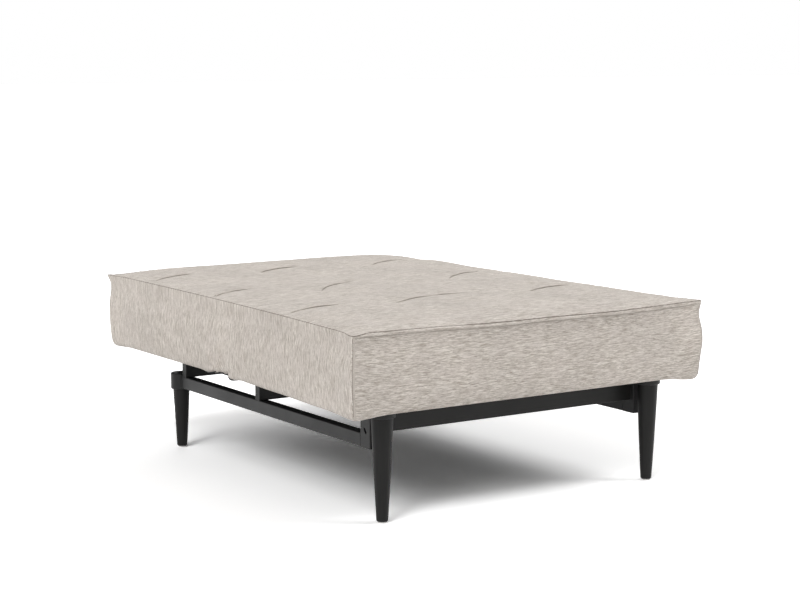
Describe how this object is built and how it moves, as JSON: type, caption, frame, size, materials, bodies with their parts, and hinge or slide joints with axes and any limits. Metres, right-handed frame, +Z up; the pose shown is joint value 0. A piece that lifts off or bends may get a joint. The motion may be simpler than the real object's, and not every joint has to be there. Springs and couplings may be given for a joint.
{
  "type": "chair bed",
  "caption": "Low upholstered chair bed lying flat on round tapered legs, its backrest folding up on ratchet hinges.",
  "frame": {"origin": "on the floor under the middle of the lying surface", "axes": "+X to the right of someone sitting, +Y from the seat to the backrest, +Z up"},
  "size_m": [0.914, 1.164, 0.409],
  "materials": {
    "black_board": "black stained board",
    "black_collar": "black satin powder coat",
    "black_fastener": "blackened steel",
    "black_frame": "black satin powder coat",
    "black_leg": "turned wood, black satin lacquer",
    "buffer_rubber": "soft black rubber",
    "cover_fabric": "light beige-grey slubbed weave, matt",
    "dowel_wood": "plain beech",
    "dust_cloth": "thin black spun cloth",
    "felt": "grey needled felt",
    "foam": "open-cell seat foam, matt",
    "frame_steel": "black stove paint on steel tube",
    "glide_plastic": "pale grey plastic, matt",
    "spring_steel": "oiled spring wire",
    "zinc_steel": "zinc-plated pressed steel"
  },
  "bodies": {
    "base": {"board_dowels": "dowel_wood", "bracket_bolts": "black_fastener", "cleat_screws": "black_fastener", "fold_pins": "zinc_steel", "fold_washers": "zinc_steel", "front_board": "black_board", "front_bracket_left": "black_frame", "front_bracket_right": "black_frame", "front_collar_left": "black_collar", "front_collar_right": "black_collar", "front_leg_left": "black_leg", "front_leg_nuts": "black_fastener", "front_leg_right": "black_leg", "front_leg_studs": "black_fastener", "leg_glides": "glide_plastic", "mattress_fold": "cover_fabric", "middle_board": "black_board", "pawl_pins": "zinc_steel", "rail_screws": "black_fastener", "rear_board": "black_board", "rear_collar_left": "black_collar", "rear_collar_right": "black_collar", "rear_leg_bolts": "black_fastener", "rear_leg_left": "black_leg", "rear_leg_right": "black_leg", "rest_buffers": "buffer_rubber", "seat_cleats": "black_fastener", "seat_cover": "cover_fabric", "seat_cross_tube": "frame_steel", "seat_dust_cover": "dust_cloth", "seat_end_tube": "frame_steel", "seat_felt": "felt", "seat_foam": "foam", "seat_fold_tube": "frame_steel", "seat_hinge_bolts": "black_fastener", "seat_hinge_plate_left": "zinc_steel", "seat_hinge_plate_right": "zinc_steel", "seat_left_tube": "frame_steel", "seat_right_tube": "frame_steel", "seat_spring_clips": "spring_steel", "seat_springs": "spring_steel", "side_rail_left": "black_frame", "side_rail_right": "black_frame"},
    "backrest": {"back_cover": "cover_fabric", "back_cross_tube": "frame_steel", "back_dust_cover": "dust_cloth", "back_end_tube": "frame_steel", "back_felt": "felt", "back_foam": "foam", "back_fold_tube": "frame_steel", "back_hinge_bolts": "black_fastener", "back_hinge_plate_left": "zinc_steel", "back_hinge_plate_right": "zinc_steel", "back_left_tube": "frame_steel", "back_right_tube": "frame_steel", "back_spring_clips": "spring_steel", "back_springs": "spring_steel"},
    "pawl_left": {"pawl_left": "zinc_steel"},
    "pawl_right": {"pawl_right": "zinc_steel"}
  },
  "joints": [
    {"name": "backrest_fold", "type": "hinge", "parent": "base", "child": "backrest", "pos_m": [0, -0.015, 0.38], "axis": [1, 0, 0], "range_deg": [0, 72], "deforming": ["mattress_fold"]},
    {"name": "pawl_turn_left", "type": "hinge", "parent": "base", "child": "pawl_left", "pos_m": [-0.4065, -0.05362, 0.35575], "axis": [1, 0, 0], "range_deg": [0, 12]},
    {"name": "pawl_turn_right", "type": "hinge", "parent": "base", "child": "pawl_right", "pos_m": [0.4065, -0.05362, 0.35575], "axis": [1, 0, 0], "range_deg": [0, 12]}
  ]
}
